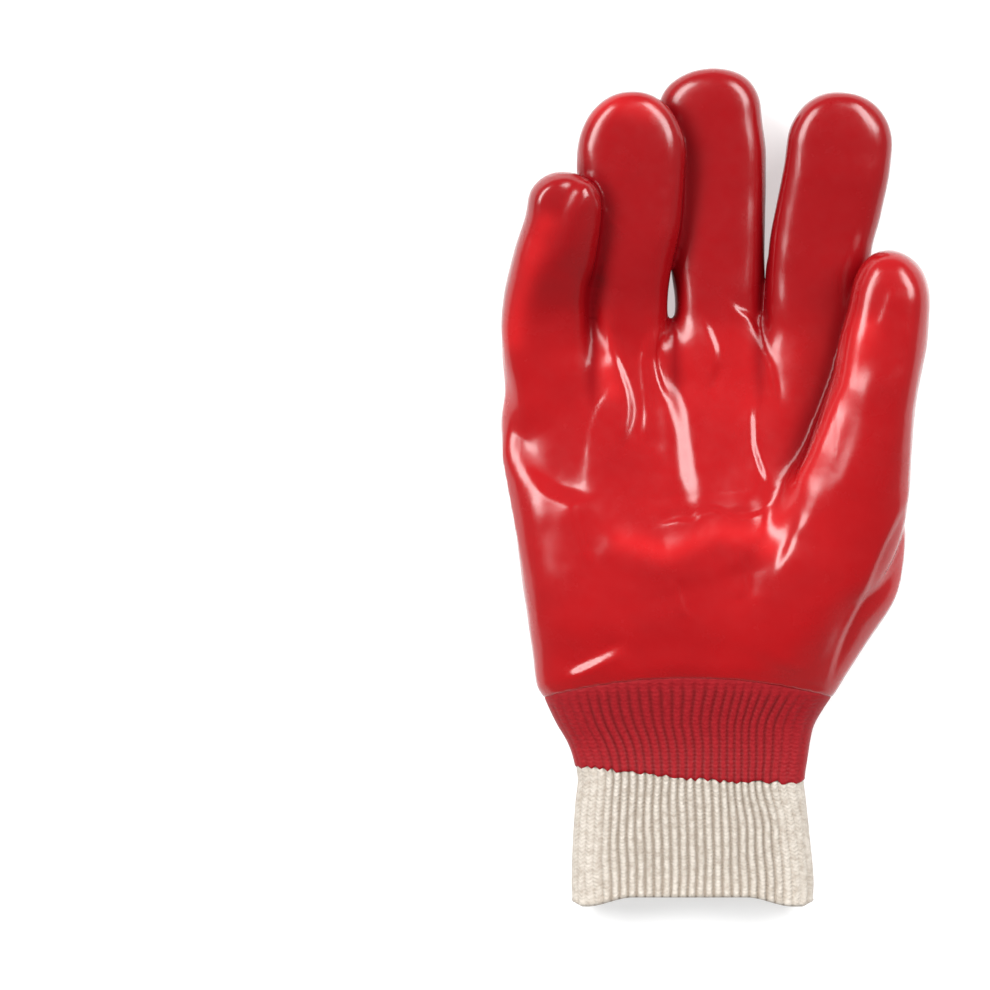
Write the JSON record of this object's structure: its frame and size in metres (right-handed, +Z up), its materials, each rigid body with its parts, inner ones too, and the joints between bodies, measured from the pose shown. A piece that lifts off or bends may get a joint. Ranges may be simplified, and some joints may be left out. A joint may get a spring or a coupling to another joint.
{
  "type": "pvc coated work glove",
  "caption": "Hollow five-finger work glove for the right hand, glossy coating over cotton, with a ribbed knit wrist.",
  "frame": {"origin": "under the middle of the glove's outer box, on the surface that its back lies on", "axes": "+X towards the thumb's side, +Y from the hem to the fingertips, +Z up out of the palm"},
  "size_m": [0.1348, 0.2648, 0.0484],
  "materials": {
    "hand_coating": "glossy red coating on cotton",
    "band_coating": "satin red coating soaked into rib knit",
    "rib_knit": "natural cream cotton rib knit"
  },
  "bodies": {
    "root": {"coated_hand": "hand_coating", "coated_wrist_band": "band_coating", "knit_cuff": "rib_knit"}
  },
  "joints": []
}
